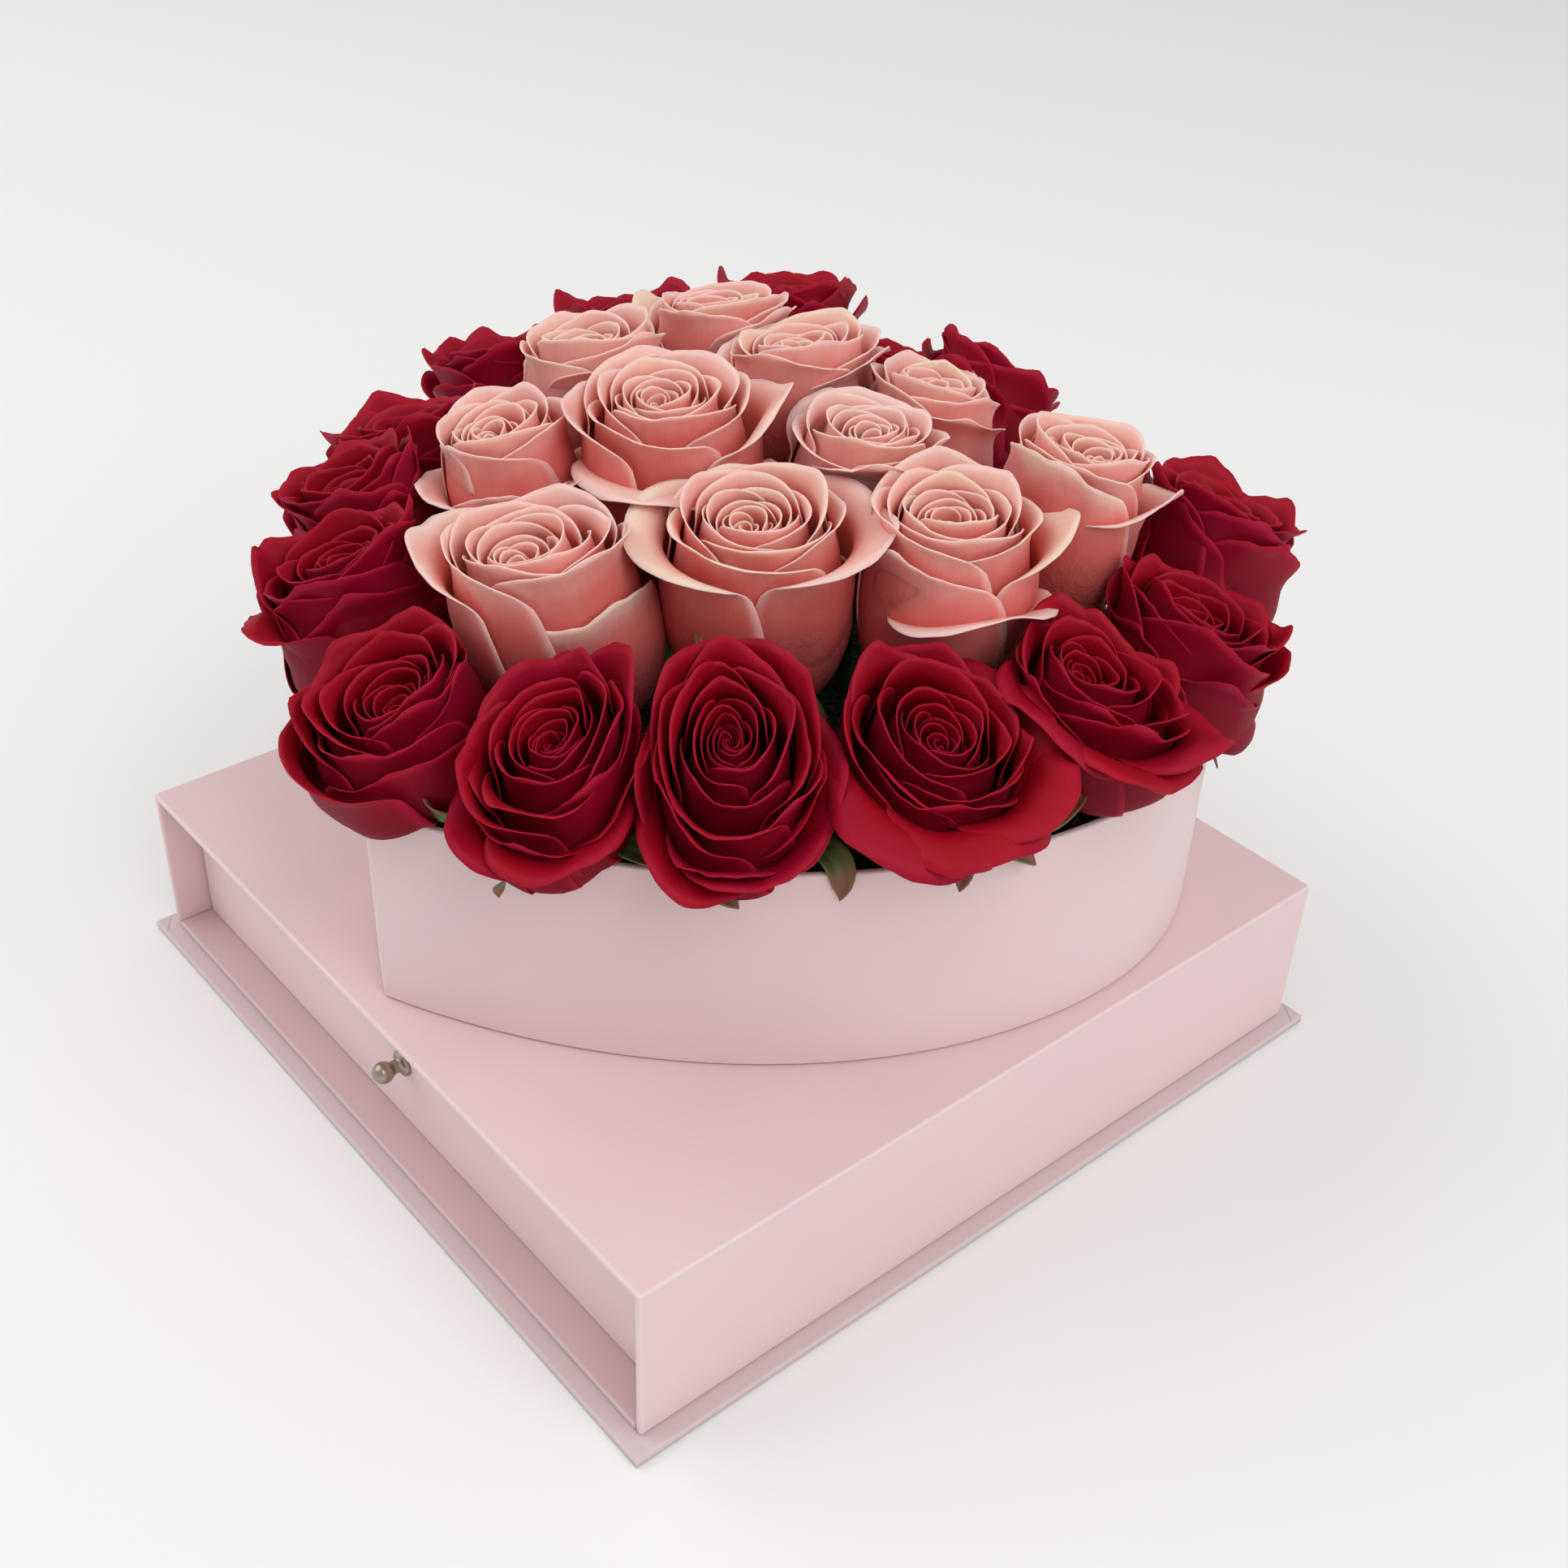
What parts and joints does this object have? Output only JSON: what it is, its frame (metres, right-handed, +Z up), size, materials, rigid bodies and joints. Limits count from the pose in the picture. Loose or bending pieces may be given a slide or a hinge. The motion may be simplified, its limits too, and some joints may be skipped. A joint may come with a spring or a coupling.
{
  "type": "heart flower box with drawer",
  "caption": "Heart-shaped paper-wrapped box filled with pink and red cut roses, fixed on a square box with a shallow knobbed drawer.",
  "frame": {"origin": "centre of the base board's underside, on the surface it stands on", "axes": "+Z up; the drawer opens towards -Y and the heart's tip points to -Y; +X to the right seen from the drawer's front"},
  "size_m": [0.2808, 0.275, 0.1928],
  "materials": {
    "pink_paper": "matte wrapping paper on grey board",
    "dusky_paper": "matte wrapping paper on grey board",
    "nickel": "warm polished nickel plate",
    "steel": "zinc-plated",
    "liner_film": "thin waterproof film",
    "wet_foam": "soaked flower foam",
    "leaf_green": "living stem and sepal",
    "red_petals": "velvety rose petal",
    "pink_petals": "satin rose petal"
  },
  "bodies": {
    "box": {"base_board": "dusky_paper", "inner_floor": "dusky_paper", "sleeve_shell": "pink_paper", "heart_wall": "pink_paper", "heart_floor": "dusky_paper", "foam_liner": "liner_film", "floral_foam": "wet_foam", "red_01_bloom": "red_petals", "red_02_bloom": "red_petals", "red_03_bloom": "red_petals", "red_04_bloom": "red_petals", "red_05_bloom": "red_petals", "red_06_and_07_blooms": "red_petals", "red_08_bloom": "red_petals", "red_09_and_10_blooms": "red_petals", "red_11_bloom": "red_petals", "red_12_bloom": "red_petals", "red_13_bloom": "red_petals", "red_14_bloom": "red_petals", "red_15_bloom": "red_petals", "red_16_bloom": "red_petals", "pink_01_bloom": "pink_petals", "pink_02_bloom": "pink_petals", "pink_03_bloom": "pink_petals", "pink_04_bloom": "pink_petals", "pink_05_bloom": "pink_petals", "pink_06_bloom": "pink_petals", "pink_07_and_08_blooms": "pink_petals", "pink_09_bloom": "pink_petals", "pink_10_and_11_blooms": "pink_petals", "red_01_green": "leaf_green", "red_02_green": "leaf_green", "red_03_green": "leaf_green", "red_04_green": "leaf_green", "red_05_green": "leaf_green", "red_06_green": "leaf_green", "red_07_green": "leaf_green", "red_08_green": "leaf_green", "red_09_green": "leaf_green", "red_10_green": "leaf_green", "red_11_green": "leaf_green", "red_12_green": "leaf_green", "red_13_green": "leaf_green", "red_14_green": "leaf_green", "red_15_green": "leaf_green", "red_16_green": "leaf_green", "pink_01_green": "leaf_green", "pink_02_green": "leaf_green", "pink_03_green": "leaf_green", "pink_04_green": "leaf_green", "pink_05_green": "leaf_green", "pink_06_green": "leaf_green", "pink_07_green": "leaf_green", "pink_08_green": "leaf_green", "pink_09_green": "leaf_green", "pink_10_green": "leaf_green", "pink_11_green": "leaf_green"},
    "drawer": {"drawer_tray": "pink_paper", "drawer_knob": "nickel", "knob_screw": "steel"}
  },
  "joints": [
    {"name": "drawer_slide", "type": "slide", "parent": "box", "child": "drawer", "axis": [0, -1, 0], "range_m": [0, 0.19]}
  ]
}
